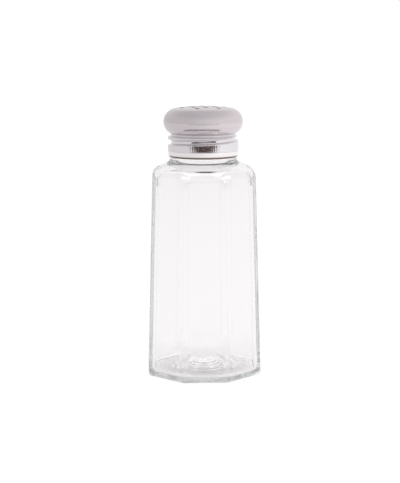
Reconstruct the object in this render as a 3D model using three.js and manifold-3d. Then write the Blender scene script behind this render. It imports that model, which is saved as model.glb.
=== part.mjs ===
// Table shaker for spice: an eight-sided glass jar closed by a screw-on stainless steel mushroom cap,
// with a thin plastic sealing ring on the glass rim. Millimetres, +Z up, and the origin is the centre
// of the jar's foot, on the plane that the jar stands on. The front panel faces -Y.
import * as THREE from "three";
import { mergeVertices } from "three/addons/utils/BufferGeometryUtils.js";
import Module from "manifold-3d";

const wasm = await Module();
wasm.setup();

// Glass jar: foot, panels and shoulder
const panelCount = 8;
const footAcross = 44.6;
const shoulderAcross = 40.6;
const panelTop = 79.1;
const panelEdgeRadius = 1.4;
const heelRadius = 1.9;
const pushUpRadius = 12.5;
const pushUpDepth = 4;
const shoulderRadius = 4.2;
const shoulderSlopeDeg = 23;

// Glass jar: wall, floor with a hump in its middle, and rounded cavity
const wall = 2.2;
const floorThickness = 2;
const humpRadius = 11;
const humpHeight = 5;
const cavityEdgeRadius = 5.5;
const cavityFloorRadius = 2;
const cavityShoulderRadius = 2.5;
const cavityShoulderDeg = 60;
const boreLength = 3.6;
const boreEdgeRadius = 2.4;
const boreEdgeDeg = 70;

// Glass jar: neck and rim
const neckRadius = 12.95;
const neckFillet = 2.7;
const neckWall = 2;
const rimRadius = 0.4;

// Screw thread, right hand, 8 turns to the inch
const threadPitch = 3.175;
const threadCrestWidth = 0.3;
const threadRootWidth = 1.1;
const threadBelowRim = 0.6;
const threadTurnDeg = 395;
const threadFadeDeg = 25;
const threadClearance = 0.12;

// Mushroom cap: sheet, dome and crease
const sheet = 0.4;
const domeOverhang = 1.72;
const domeEdgeRadius = 5.3;
const domeWidestRise = 5.3;
const domeUnderDeg = 63;
const crownRise = 0.65;
const ledgeWidth = 1.93;

// Mushroom cap: skirt, curled edge and knurls
const skirtStandOut = 0.98;
const skirtHeight = 7.75;
const skirtCornerRadius = 0.4;
const hemRise = 0.57;
const hemThickness = 1;
const hemHeight = 1.8;
const hemBandHeight = 1.85;
const knurlCount = 96;
const knurlDepth = 0.2;
const knurlHeight = 2.9;

// Mushroom cap: the rolled groove, which is the thread's ridge inside
const grooveRadius = 0.83;
const grooveDepth = 1.36;
const grooveBelowLedge = 0.86;
const grooveStartDeg = 30;
const grooveTurnDeg = 365;
const grooveLeadDeg = 30;
const grooveFadeDeg = 35;
const neckSlack = 0.37;
const crestSlack = 0.23;

// Mushroom cap: shaker holes on a triangular grid
const holeDiameter = 1.8;
const holePitch = 4.9;
const holeTurnDeg = -18;

// Sealing ring, with a clearance above and below it
const ringThickness = 0.5;
const ringWidth = 2.5;
const ringSlack = 0.17;
const ringClearance = 0.25;

// Faceting, and how far a cutter runs past what it cuts
const roundSegments = 48;
const grooveSteps = 4;
const holeSides = 8;
const threadStepDeg = 10;
const arcSteps = 4;
const cutOverrun = 2;

const toRadians = THREE.MathUtils.degToRad;
const shoulderSlope = toRadians(shoulderSlopeDeg);

// Heights and radii that follow, from the foot up
const footRadius = footAcross / 2;
const shoulderApothem = shoulderAcross / 2;
const shoulderArcCentre = shoulderApothem - shoulderRadius;
const shoulderArcEndRadius = shoulderArcCentre + shoulderRadius * Math.sin(shoulderSlope);
const shoulderArcEndHeight = panelTop + shoulderRadius * Math.cos(shoulderSlope);
const filletEndRadius = neckRadius + neckFillet * (1 - Math.sin(shoulderSlope));
const filletEndHeight =
  shoulderArcEndHeight + (shoulderArcEndRadius - filletEndRadius) * Math.tan(shoulderSlope);
const beadTop = filletEndHeight + neckFillet * Math.cos(shoulderSlope);
const hemBottom = beadTop + hemRise;
const knurlBottom = hemBottom + hemBandHeight;
const ledgeHeight = hemBottom + skirtHeight;
const ringTop = ledgeHeight - sheet - ringClearance;
const ringBottom = ringTop - ringThickness;
const neckTop = ringBottom - ringClearance;
const domeHeight = domeWidestRise + domeEdgeRadius + crownRise;
const crownHeight = ledgeHeight + domeHeight;

// The cap's radii, from its skirt, which stands out from the neck
const skirtRadius = neckRadius + skirtStandOut;
const creaseRadius = skirtRadius - ledgeWidth;
const domeRadius = skirtRadius + domeOverhang;

// The groove and the thread share one helix
const ridgeRadius = grooveRadius + sheet;
const ridgeTipRadius = skirtRadius - grooveDepth - sheet;
const grooveCentreRadius = ridgeTipRadius + ridgeRadius;
const neckRootRadius = ridgeTipRadius - neckSlack;
const boreRadius = neckRootRadius - neckWall;
const hemInnerRadius = skirtRadius - hemThickness;
const threadCrestRadius = hemInnerRadius - crestSlack;
const ridgeHalfWidth = Math.sqrt(ridgeRadius ** 2 - (grooveCentreRadius - threadCrestRadius) ** 2);
const threadAboveRidge = ridgeHalfWidth + threadCrestWidth / 2 + threadClearance;
const grooveStartHeight = ledgeHeight - grooveBelowLedge;
const threadStartHeight = neckTop - threadBelowRim;
const threadStartDeg =
  grooveStartDeg - ((grooveStartHeight - threadStartHeight + threadAboveRidge) * 360) / threadPitch;

// A closed geometry as a solid that can be joined and cut.
function solidFrom(geometry) {
  const bare = geometry.index ? geometry.toNonIndexed() : geometry.clone();
  bare.deleteAttribute("normal");
  bare.deleteAttribute("uv");
  const merged = mergeVertices(bare, sheet / 1000);
  return new wasm.Manifold(
    new wasm.Mesh({
      numProp: 3,
      vertProperties: merged.attributes.position.array,
      triVerts: new Uint32Array(merged.index.array),
    }),
  );
}

// A finished solid as a named mesh with its own material.
function namedMesh(name, solid, look) {
  const { vertProperties, triVerts } = solid.getMesh();
  const geometry = new THREE.BufferGeometry();
  geometry.setAttribute("position", new THREE.BufferAttribute(vertProperties, 3));
  geometry.setIndex(new THREE.BufferAttribute(triVerts, 1));
  geometry.computeVertexNormals();
  const mesh = new THREE.Mesh(geometry, new THREE.MeshStandardMaterial(look));
  mesh.name = name;
  return mesh;
}

// Points of a profile along an arc, as radius and height.
function arcPoints(centreRadius, centreHeight, radius, fromDeg, toDeg, steps = arcSteps) {
  const points = [];
  for (let i = 0; i <= steps; i++) {
    const angle = toRadians(fromDeg + ((toDeg - fromDeg) * i) / steps);
    const across = centreRadius + radius * Math.cos(angle);
    const up = centreHeight + radius * Math.sin(angle);
    points.push(new THREE.Vector2(across, up));
  }
  return points;
}

// A solid of revolution round +Z. Its profile starts and ends on the axis, or closes on itself.
function turned(profile) {
  return solidFrom(new THREE.LatheGeometry(profile, roundSegments).rotateX(Math.PI / 2));
}

// A closed skin through rings of points. Each ring runs anticlockwise as seen from the far end,
// and the first and the last are closed by a fan.
function skinned(rings) {
  const positions = [];
  const face = (a, b, c) => positions.push(...a.toArray(), ...b.toArray(), ...c.toArray());
  const first = rings[0];
  const last = rings[rings.length - 1];
  const middleOf = (ring) => ring.reduce((sum, p) => sum.add(p), new THREE.Vector3()).divideScalar(ring.length);
  const firstMiddle = middleOf(first);
  const lastMiddle = middleOf(last);
  for (let i = 0; i < first.length; i++) {
    const j = (i + 1) % first.length;
    face(firstMiddle, first[j], first[i]);
    face(lastMiddle, last[i], last[j]);
    for (let k = 0; k + 1 < rings.length; k++) {
      face(rings[k][i], rings[k][j], rings[k + 1][j]);
      face(rings[k][i], rings[k + 1][j], rings[k + 1][i]);
    }
  }
  const geometry = new THREE.BufferGeometry();
  geometry.setAttribute("position", new THREE.Float32BufferAttribute(positions, 3));
  return solidFrom(geometry);
}

// One level of the jar: a regular octagon with rounded edges. It is a circle where the edge
// radius equals the apothem.
const halfPanel = Math.PI / panelCount;
const panelStepShares = [-0.93, -0.75, -0.4, 0, 0.4, 0.75, 0.93, 1];
function panelLevel(height, apothem, edgeRadius) {
  const points = [];
  const edgeCentre = (apothem - edgeRadius) / Math.cos(halfPanel);
  const flatAngle = Math.atan(((apothem - edgeRadius) * Math.tan(halfPanel)) / apothem);
  for (let panel = 0; panel < panelCount; panel++)
    for (const share of panelStepShares) {
      const fromMiddle = halfPanel * Math.abs(share);
      const fromEdge = halfPanel - fromMiddle;
      const onFlat = apothem / Math.cos(fromMiddle);
      const across = edgeCentre * Math.sin(fromEdge);
      const onEdge = edgeCentre * Math.cos(fromEdge) + Math.sqrt(Math.max(edgeRadius ** 2 - across ** 2, 0));
      const radius = fromMiddle <= flatAngle ? onFlat : onEdge;
      const angle = halfPanel * (2 * panel + share);
      points.push(new THREE.Vector3(radius * Math.cos(angle), radius * Math.sin(angle), height));
    }
  return points;
}
const roundLevel = (height, radius) => panelLevel(height, radius, radius);

// A bar that winds down the thread's right-hand helix. sectionAt gives its section after so many
// degrees, anticlockwise, as pairs of radius and rise over the helix.
function helicalBar(startDeg, startHeight, turnDeg, sectionAt) {
  const steps = Math.round(turnDeg / threadStepDeg);
  const rings = [];
  for (let i = 0; i <= steps; i++) {
    const down = (turnDeg * i) / steps;
    const angle = toRadians(startDeg - down);
    const height = startHeight - (threadPitch * down) / 360;
    const place = ([radius, rise]) =>
      new THREE.Vector3(radius * Math.cos(angle), radius * Math.sin(angle), height + rise);
    rings.push(sectionAt(down).map(place));
  }
  return skinned(rings);
}

// How much of its full depth a thread has after so many degrees: it rises over the first
// stretch and fades over the last.
function depthShareAt(down, turnDeg, leadDeg, fadeDeg) {
  const share = Math.min(down / leadDeg, (turnDeg - down) / fadeDeg, 1);
  return Math.sin((share * Math.PI) / 2);
}

// Glass jar: the apothem of its tapered panels at a height
function panelApothemAt(height) {
  const share = (height - heelRadius) / (panelTop - heelRadius);
  return THREE.MathUtils.lerp(footRadius, shoulderApothem, share);
}

// How high a round mound is at a share of its radius. The push-up and the floor's hump are mounds.
const moundShares = [0.3, 0.65, 1];
const moundPower = 1.2;
const moundHeight = (height, share) => height * (1 - share ** 2) ** moundPower;

// Glass jar: the outside, from the middle of the push-up out over the foot and up to the rim
function jarOutside() {
  const heelCentre = footRadius - heelRadius;
  const levels = [];
  for (const share of moundShares)
    levels.push(roundLevel(moundHeight(pushUpDepth, share), pushUpRadius * share));
  for (const at of arcPoints(heelCentre, heelRadius, heelRadius, -90, 0))
    levels.push(panelLevel(at.y, at.x, panelEdgeRadius));
  const shoulderArc = arcPoints(shoulderArcCentre, panelTop, shoulderRadius, 0, 90 - shoulderSlopeDeg);
  for (const at of shoulderArc) {
    const share = (at.y - panelTop) / (shoulderArcEndHeight - panelTop);
    levels.push(panelLevel(at.y, at.x, THREE.MathUtils.lerp(panelEdgeRadius, at.x, share)));
  }
  const filletDeg = 270 - shoulderSlopeDeg;
  for (const at of arcPoints(neckRadius + neckFillet, beadTop, neckFillet, filletDeg, 180))
    levels.push(roundLevel(at.y, at.x));
  levels.push(roundLevel(beadTop + rimRadius / 2, neckRootRadius));
  levels.push(roundLevel(neckTop - rimRadius, neckRootRadius));
  levels.push(roundLevel(neckTop, neckRootRadius - rimRadius));
  return skinned(levels);
}

// Glass jar: the cavity, from the top of the floor's hump down to the floor's edge, and up through
// the shoulder and the bore
function jarCavity() {
  const floorCornerHeight = floorThickness + cavityFloorRadius;
  const floorCorner = panelApothemAt(floorCornerHeight) - wall - cavityFloorRadius;
  const levels = [];
  for (const share of moundShares) {
    const rise = moundHeight(humpHeight, share);
    const across = humpRadius * share;
    levels.push(panelLevel(floorThickness + rise, across, Math.min(cavityEdgeRadius, across)));
  }
  for (const at of arcPoints(floorCorner, floorCornerHeight, cavityFloorRadius, -90, 0))
    levels.push(panelLevel(at.y, at.x, cavityEdgeRadius));
  const arcCentre = shoulderApothem - wall - cavityShoulderRadius;
  for (const at of arcPoints(arcCentre, panelTop, cavityShoulderRadius, 0, cavityShoulderDeg)) {
    const share = (at.y - panelTop) / (cavityShoulderRadius * Math.sin(toRadians(cavityShoulderDeg)));
    levels.push(panelLevel(at.y, at.x, THREE.MathUtils.lerp(cavityEdgeRadius, at.x, share)));
  }
  const boreEdgeHeight = beadTop - boreLength + boreEdgeRadius;
  const boreEdgeCentre = boreRadius + boreEdgeRadius;
  for (const at of arcPoints(boreEdgeCentre, boreEdgeHeight, boreEdgeRadius, 180 + boreEdgeDeg, 180))
    levels.push(roundLevel(at.y, at.x));
  levels.push(roundLevel(neckTop - rimRadius, boreRadius));
  levels.push(roundLevel(neckTop + cutOverrun, boreRadius + rimRadius + cutOverrun));
  return skinned(levels);
}

// Glass jar: the thread, which starts under the rim and fades out lower down
function jarThread() {
  const hidden = neckRootRadius - rimRadius;
  return helicalBar(threadStartDeg, threadStartHeight, threadTurnDeg, (down) => {
    const share = depthShareAt(down, threadTurnDeg, threadStepDeg, threadFadeDeg);
    const crest = THREE.MathUtils.lerp(neckRootRadius, threadCrestRadius, share);
    return [
      [hidden, -threadRootWidth / 2],
      [crest, -threadCrestWidth / 2],
      [crest, threadCrestWidth / 2],
      [hidden, threadRootWidth / 2],
    ];
  });
}

// Mushroom cap: the dome's section, pulled in by the sheet for its inner face
function domeProfile(inset) {
  const edgeCentre = domeRadius - domeEdgeRadius;
  const widest = ledgeHeight + domeWidestRise;
  const drop = crownHeight - widest;
  const crownRadius = (edgeCentre ** 2 + drop ** 2 - domeEdgeRadius ** 2) / (2 * (drop - domeEdgeRadius));
  const crownCentre = crownHeight - crownRadius;
  const meetDeg = THREE.MathUtils.radToDeg(Math.atan2(widest - crownCentre, edgeCentre));
  const edge = arcPoints(edgeCentre, widest, domeEdgeRadius - inset, -domeUnderDeg, meetDeg, 2 * arcSteps);
  const crown = arcPoints(0, crownCentre, crownRadius - inset, meetDeg, 90);
  return [...edge, ...crown.slice(1, -1), new THREE.Vector2(0, crownHeight - inset)];
}

// Mushroom cap: everything inside its outer face, with a raised band where the knurls are cut
function capOutside() {
  const hemCentre = skirtRadius - hemThickness;
  const cornerCentre = skirtRadius - skirtCornerRadius;
  const cornerHeight = ledgeHeight - skirtCornerRadius;
  return turned([
    new THREE.Vector2(0, hemBottom),
    ...arcPoints(hemCentre, hemBottom + hemThickness, hemThickness, -90, 0),
    new THREE.Vector2(skirtRadius, knurlBottom),
    new THREE.Vector2(skirtRadius + knurlDepth, knurlBottom),
    new THREE.Vector2(skirtRadius + knurlDepth, knurlBottom + knurlHeight),
    new THREE.Vector2(skirtRadius, knurlBottom + knurlHeight),
    ...arcPoints(cornerCentre, cornerHeight, skirtCornerRadius, 0, 90),
    new THREE.Vector2(creaseRadius, ledgeHeight),
    ...domeProfile(0),
  ]);
}

// Mushroom cap: the hollow, from below the curled edge up into the dome
function capHollow() {
  const innerRadius = skirtRadius - knurlDepth - sheet;
  return turned([
    new THREE.Vector2(0, hemBottom - cutOverrun),
    new THREE.Vector2(hemInnerRadius, hemBottom - cutOverrun),
    new THREE.Vector2(hemInnerRadius, hemBottom + hemHeight),
    new THREE.Vector2(innerRadius, hemBottom + hemHeight),
    new THREE.Vector2(innerRadius, ledgeHeight - sheet),
    new THREE.Vector2(creaseRadius, ledgeHeight - sheet),
    new THREE.Vector2(creaseRadius - sheet, ledgeHeight),
    ...domeProfile(sheet),
  ]);
}

// Mushroom cap: the knurls, as a ring with a toothed bore that trims the raised band
function knurlCutter() {
  const ring = new THREE.Shape();
  ring.absarc(0, 0, skirtRadius + cutOverrun, 0, 2 * Math.PI);
  const teeth = [];
  for (let i = 0; i < 2 * knurlCount; i++) {
    const angle = (Math.PI * i) / knurlCount;
    const radius = i % 2 ? skirtRadius : skirtRadius - knurlDepth;
    teeth.push(new THREE.Vector2(radius * Math.cos(angle), radius * Math.sin(angle)));
  }
  ring.holes.push(new THREE.Path(teeth));
  const options = { depth: knurlHeight, bevelEnabled: false, curveSegments: roundSegments };
  return solidFrom(new THREE.ExtrudeGeometry(ring, options).translate(0, 0, knurlBottom));
}

// Mushroom cap: the rolled groove, or with the sheet's thickness added, the ridge inside. Its
// section is a half circle that opens outwards.
function rolledThread(radius) {
  return helicalBar(grooveStartDeg, grooveStartHeight, grooveTurnDeg, (down) => {
    const share = depthShareAt(down, grooveTurnDeg, grooveLeadDeg, grooveFadeDeg);
    const centre = grooveCentreRadius + (1 - share) * (grooveDepth + sheet);
    const section = [];
    for (let i = 0; i <= grooveSteps; i++) {
      const angle = Math.PI * (0.5 + i / grooveSteps);
      section.push([centre + radius * Math.cos(angle), radius * Math.sin(angle)]);
    }
    section.push([centre + cutOverrun, -radius], [centre + cutOverrun, radius]);
    return section;
  });
}

// Mushroom cap: one hole in the middle, and two rings of six, as a triangular grid has
function shakerHoles() {
  const places = [[0, 0]];
  for (const [radius, turnDeg] of [
    [holePitch, holeTurnDeg],
    [holePitch * Math.sqrt(3), holeTurnDeg + 30],
  ])
    for (let i = 0; i < 6; i++) {
      const angle = toRadians(turnDeg + 60 * i);
      places.push([radius * Math.cos(angle), radius * Math.sin(angle)]);
    }
  return places.map(([x, y]) => {
    const drill = new THREE.CylinderGeometry(holeDiameter / 2, holeDiameter / 2, domeHeight, holeSides);
    return solidFrom(drill.rotateX(Math.PI / 2).translate(x, y, crownHeight));
  });
}

// Mushroom cap, whole
function mushroomCap() {
  const hollow = capHollow().subtract(rolledThread(ridgeRadius));
  let cap = capOutside().subtract(knurlCutter()).subtract(rolledThread(grooveRadius)).subtract(hollow);
  for (const hole of shakerHoles()) cap = cap.subtract(hole);
  return cap;
}

// Sealing ring: a flat washer between the glass rim and the cap's ledge
function sealingRing() {
  const outer = ridgeTipRadius - ringSlack;
  const inner = outer - ringWidth;
  return turned([
    new THREE.Vector2(inner, ringBottom),
    new THREE.Vector2(outer, ringBottom),
    new THREE.Vector2(outer, ringTop),
    new THREE.Vector2(inner, ringTop),
    new THREE.Vector2(inner, ringBottom),
  ]);
}

const glass = { color: 0xe9efec, roughness: 0.05, metalness: 0, transparent: true, opacity: 0.4 };
const steel = { color: 0xc3bcbe, roughness: 0.3, metalness: 1 };
const polyethylene = { color: 0xf2f2ee, roughness: 0.5, metalness: 0 };

const shaker = new THREE.Group();
shaker.add(namedMesh("glass_jar", jarOutside().add(jarThread()).subtract(jarCavity()), glass));
shaker.add(namedMesh("sealing_ring", sealingRing(), polyethylene));
shaker.add(namedMesh("mushroom_cap", mushroomCap(), steel));

export default shaker;
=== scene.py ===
from math import atan2, ceil, cos, pi, radians, sin, sqrt, tan

import bmesh
import bpy
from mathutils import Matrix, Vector
from mathutils.geometry import delaunay_2d_cdt


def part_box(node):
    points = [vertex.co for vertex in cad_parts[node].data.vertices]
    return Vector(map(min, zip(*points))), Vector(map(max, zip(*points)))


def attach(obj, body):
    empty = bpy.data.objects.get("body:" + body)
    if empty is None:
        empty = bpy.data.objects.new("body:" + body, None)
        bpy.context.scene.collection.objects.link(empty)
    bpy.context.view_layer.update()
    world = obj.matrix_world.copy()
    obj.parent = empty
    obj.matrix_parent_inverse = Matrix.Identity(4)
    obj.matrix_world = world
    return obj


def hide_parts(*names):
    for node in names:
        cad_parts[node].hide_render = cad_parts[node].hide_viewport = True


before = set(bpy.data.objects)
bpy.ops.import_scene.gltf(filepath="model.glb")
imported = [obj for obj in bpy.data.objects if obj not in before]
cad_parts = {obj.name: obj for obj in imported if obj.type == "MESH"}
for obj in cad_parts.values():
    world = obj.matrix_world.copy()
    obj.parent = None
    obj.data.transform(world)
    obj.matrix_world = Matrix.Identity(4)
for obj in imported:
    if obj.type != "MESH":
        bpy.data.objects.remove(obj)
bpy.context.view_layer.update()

# View: the photograph's long lens, a little above the cap and square to the jar's front panel.
# The picture is 400 pixels wide, and the lens is worked out from the focal length in its pixels.
MM = 0.001
picture_width = 400
focal_pixels = 1410
camera_distance = 555 * MM
camera_height = 141 * MM
camera_turn = radians(-2.5)
camera_tilt = radians(9.05)
camera_roll = radians(0.16)
camera_aside = radians(0.115)

lens = bpy.data.cameras.new("long_lens")
lens.sensor_fit = "HORIZONTAL"
lens.lens = focal_pixels / picture_width * lens.sensor_width
camera = bpy.data.objects.new("camera", lens)
bpy.context.scene.collection.objects.link(camera)
camera.location = (
    camera_distance * sin(camera_turn),
    -camera_distance * cos(camera_turn),
    camera_height,
)
camera.rotation_euler = (pi / 2 - camera_tilt, camera_roll, camera_turn + camera_aside)
bpy.context.scene.camera = camera


# Glass jar: one piece of clear soda-lime glass, pressed and blown in a mould. It has eight flat
# panels that taper upwards, a round shoulder, a threaded neck, and a floor that rises in a round
# hump over the push-up. The outside is turned as a round blank and then pressed into panels.
panel_count = 8
foot_across = 44.6 * MM
shoulder_across = 40.6 * MM
panel_top = 79.1 * MM
panel_steps = 24
panel_edge_radius = 1.4 * MM
heel_radius = 1.9 * MM
heel_steps = 8
bearing_width = 4.6 * MM
push_up_radius = 12.5 * MM
push_up_depth = 4 * MM
push_up_steps = 96
mound_power = 1.2
ripple_width = 1.5 * MM
ripple_depth = 0.03 * MM
shoulder_radius = 4.2 * MM
shoulder_slope = radians(23)
shoulder_steps = 16
wall = 2.2 * MM
wall_steps = 20
floor_thickness = 2 * MM
floor_steps = 40
hump_radius = 11 * MM
hump_height = 5 * MM
hump_steps = 24
cavity_edge_radius = 5.5 * MM
cavity_floor_radius = 2 * MM
cavity_floor_steps = 12
cavity_shoulder_radius = 2.5 * MM
cavity_shoulder_turn = radians(67)
cavity_shoulder_steps = 14
cavity_slope_steps = 6
bore_low = 83.5 * MM
bore_radius = 9.8 * MM
bore_edge_radius = 2.4 * MM
bore_edge_lean = 0.35
bore_edge_steps = 8
neck_radius = 12.95 * MM
neck_fillet = 2.7 * MM
neck_fillet_steps = 10
neck_root_radius = 11.8 * MM
neck_low_rise = 0.5 * MM
neck_row_height = 0.13 * MM
neck_top = 93.7 * MM
rim_radius = 0.9 * MM
rim_steps = 6
bead_top = 86.79 * MM
thread_pitch = 3.175 * MM
thread_height = 0.9 * MM
thread_root_width = 1.1 * MM
thread_crest_width = 0.3 * MM
thread_start = 93.1 * MM
thread_start_turn = radians(-245)
thread_turns = 395 / 360
thread_lead_turns = 10 / 360
thread_fade_turns = 25 / 360
least_move = 0.002 * MM
least_facing = 0.05


def linear(hex_colour):
    """An sRGB hex colour as linear red, green, blue and alpha."""
    shares = [int(hex_colour[i : i + 2], 16) / 255 for i in (1, 3, 5)]
    return [s / 12.92 if s <= 0.04045 else ((s + 0.055) / 1.055) ** 2.4 for s in shares] + [1]


def add(tree, kind, inputs=None, **settings):
    """Adds a node with its settings, and fills its inputs with values or with other nodes."""
    node = tree.nodes.new(kind)
    for name, value in settings.items():
        setattr(node, name, value)
    for key, value in (inputs or {}).items():
        if isinstance(value, bpy.types.Node):
            value = value.outputs[0]
        if isinstance(value, bpy.types.NodeSocket):
            tree.links.new(value, node.inputs[key])
        else:
            node.inputs[key].default_value = value
    return node


def new_material(name):
    """An empty node material and its output node."""
    material = bpy.data.materials.new(name)
    material.use_nodes = True
    material.node_tree.nodes.clear()
    return material, material.node_tree, material.node_tree.nodes.new("ShaderNodeOutputMaterial")


def geometry_tree(name, sizes):
    """An empty geometry tree with one named input for each size, and its group input."""
    tree = bpy.data.node_groups.new(name, "GeometryNodeTree")
    tree.interface.new_socket("Geometry", in_out="OUTPUT", socket_type="NodeSocketGeometry")
    tree.interface.new_socket("Geometry", in_out="INPUT", socket_type="NodeSocketGeometry")
    for size in sizes:
        tree.interface.new_socket(size, in_out="INPUT", socket_type="NodeSocketFloat")
    return tree, tree.nodes.new("NodeGroupInput").outputs


def finish_tree(tree, geometry, material):
    """Ends a tree with Realize Instances and Set Material."""
    real = add(tree, "GeometryNodeRealizeInstances", {"Geometry": geometry})
    done = add(tree, "GeometryNodeSetMaterial", {"Geometry": real, "Material": material})
    add(tree, "NodeGroupOutput", {0: done})


def shape_with(piece, tree, sizes):
    """Runs a geometry tree on a piece and keeps its result as the piece's plain mesh."""
    modifier = piece.modifiers.new(tree.name, "NODES")
    modifier.node_group = tree
    for socket in tree.interface.items_tree:
        if socket.in_out == "INPUT" and socket.name in sizes:
            modifier[socket.identifier] = float(sizes[socket.name])
    shaped = piece.evaluated_get(bpy.context.evaluated_depsgraph_get())
    mesh = bpy.data.meshes.new_from_object(shaped)
    piece.modifiers.remove(modifier)
    piece.data = mesh


def new_piece(name, vertices, faces):
    """A mesh object at the origin."""
    mesh = bpy.data.meshes.new(name)
    mesh.from_pydata(vertices, [], faces)
    piece = bpy.data.objects.new(name, mesh)
    bpy.context.scene.collection.objects.link(piece)
    return piece


def arc(centre_across, centre_up, radius, start, end, steps):
    """Points of a profile along an arc, as pairs of radius and height."""
    angles = [start + (end - start) * i / steps for i in range(steps + 1)]
    return [(centre_across + radius * cos(a), centre_up + radius * sin(a)) for a in angles]


def straight(first, last, steps):
    """Points of a profile along a straight stretch, without its two ends."""
    shares = [i / steps for i in range(1, steps)]
    return [tuple(a + (b - a) * share for a, b in zip(first, last)) for share in shares]


def turned(profile, angles):
    """The vertices and faces of a profile turned round +Z. A point on the axis is a pole."""
    vertices = []
    rings = []
    for radius, height in profile:
        if radius == 0:
            rings.append([len(vertices)] * len(angles))
            vertices.append((0, 0, height))
        else:
            rings.append(range(len(vertices), len(vertices) + len(angles)))
            vertices += [(radius * cos(a), radius * sin(a), height) for a in angles]
    faces = []
    for low, high in zip(rings, rings[1:]):
        for i in range(len(angles)):
            corners = [low[i - 1], low[i], high[i], high[i - 1]]
            faces.append(list(dict.fromkeys(corners)))
    return vertices, faces


def helix_tree(name, material):
    """A tree that raises or sinks a thread along a right-hand helix round +Z."""
    names = ["Pitch", "Base Radius", "Depth", "Root Width", "Crest Width", "Start Height", "Start Turn"]
    tree, size = geometry_tree(name, names + ["Turns", "Lead Turns", "Fade Turns", "Faces Out"])
    spot = add(tree, "ShaderNodeSeparateXYZ", {0: add(tree, "GeometryNodeInputPosition")})
    angle = add(tree, "ShaderNodeMath", {0: spot.outputs[1], 1: spot.outputs[0]}, operation="ARCTAN2")
    behind = add(tree, "ShaderNodeMath", {0: size["Start Turn"], 1: angle}, operation="SUBTRACT")
    share = add(tree, "ShaderNodeMath", {0: behind, 1: 2 * pi}, operation="DIVIDE")
    first = add(tree, "ShaderNodeMath", {0: share}, operation="FRACT")
    below = add(tree, "ShaderNodeMath", {0: size["Start Height"], 1: spot.outputs[2]}, operation="SUBTRACT")
    levels = add(tree, "ShaderNodeMath", {0: below, 1: size["Pitch"]}, operation="DIVIDE")
    gap = add(tree, "ShaderNodeMath", {0: levels, 1: first}, operation="SUBTRACT")
    whole = add(tree, "ShaderNodeMath", {0: gap}, operation="ROUND")
    turns = add(tree, "ShaderNodeMath", {0: first, 1: whole}, operation="ADD")
    off = add(tree, "ShaderNodeMath", {0: levels, 1: turns}, operation="SUBTRACT")
    away = add(tree, "ShaderNodeMath", {0: off, 1: size["Pitch"]}, operation="MULTIPLY")
    distance = add(tree, "ShaderNodeMath", {0: away}, operation="ABSOLUTE")
    root = add(tree, "ShaderNodeMath", {0: size["Root Width"], 1: 2}, operation="DIVIDE")
    crest = add(tree, "ShaderNodeMath", {0: size["Crest Width"], 1: 2}, operation="DIVIDE")
    section = add(
        tree,
        "ShaderNodeMapRange",
        {"Value": distance, "From Min": root, "From Max": crest},
        interpolation_type="SMOOTHSTEP",
    )
    lead = add(tree, "ShaderNodeMath", {0: turns, 1: size["Lead Turns"]}, operation="DIVIDE")
    left = add(tree, "ShaderNodeMath", {0: size["Turns"], 1: turns}, operation="SUBTRACT")
    fade = add(tree, "ShaderNodeMath", {0: left, 1: size["Fade Turns"]}, operation="DIVIDE")
    least = add(tree, "ShaderNodeMath", {0: lead, 1: fade}, operation="MINIMUM")
    reach = add(tree, "ShaderNodeMapRange", {"Value": least}, interpolation_type="SMOOTHSTEP")
    depth = add(tree, "ShaderNodeMath", {0: section, 1: reach}, operation="MULTIPLY")
    depth = add(tree, "ShaderNodeMath", {0: depth, 1: size["Depth"]}, operation="MULTIPLY")
    flat = add(tree, "ShaderNodeCombineXYZ", {0: spot.outputs[0], 1: spot.outputs[1]})
    outwards = add(tree, "ShaderNodeVectorMath", {0: flat}, operation="NORMALIZE")
    radius = add(tree, "ShaderNodeVectorMath", {0: flat}, operation="LENGTH").outputs["Value"]
    target = add(tree, "ShaderNodeMath", {0: size["Base Radius"], 1: depth}, operation="ADD")
    short = add(tree, "ShaderNodeMath", {0: target, 1: radius}, operation="SUBTRACT")
    sign = add(tree, "ShaderNodeMath", {0: size["Depth"]}, operation="SIGN")
    short = add(tree, "ShaderNodeMath", {0: short, 1: sign}, operation="MULTIPLY")
    short = add(tree, "ShaderNodeMath", {0: short, 1: 0.0}, operation="MAXIMUM")
    within = add(tree, "ShaderNodeMath", {0: depth}, operation="ABSOLUTE")
    within = add(tree, "ShaderNodeMath", {0: within, 1: least_move}, operation="GREATER_THAN")
    short = add(tree, "ShaderNodeMath", {0: short, 1: within}, operation="MULTIPLY")
    short = add(tree, "ShaderNodeMath", {0: short, 1: sign}, operation="MULTIPLY")
    move = add(tree, "ShaderNodeVectorMath", {0: outwards, "Scale": short}, operation="SCALE")
    normal = add(tree, "GeometryNodeInputNormal")
    facing = add(tree, "ShaderNodeVectorMath", {0: normal, 1: outwards}, operation="DOT_PRODUCT")
    side = add(
        tree, "ShaderNodeMath", {0: facing.outputs["Value"], 1: size["Faces Out"]}, operation="MULTIPLY"
    )
    chosen = add(tree, "FunctionNodeCompare", {0: side, 1: least_facing}, operation="GREATER_THAN")
    moved = add(
        tree,
        "GeometryNodeSetPosition",
        {"Geometry": size["Geometry"], "Selection": chosen, "Offset": move},
    )
    finish_tree(tree, moved, material)
    return tree


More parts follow.
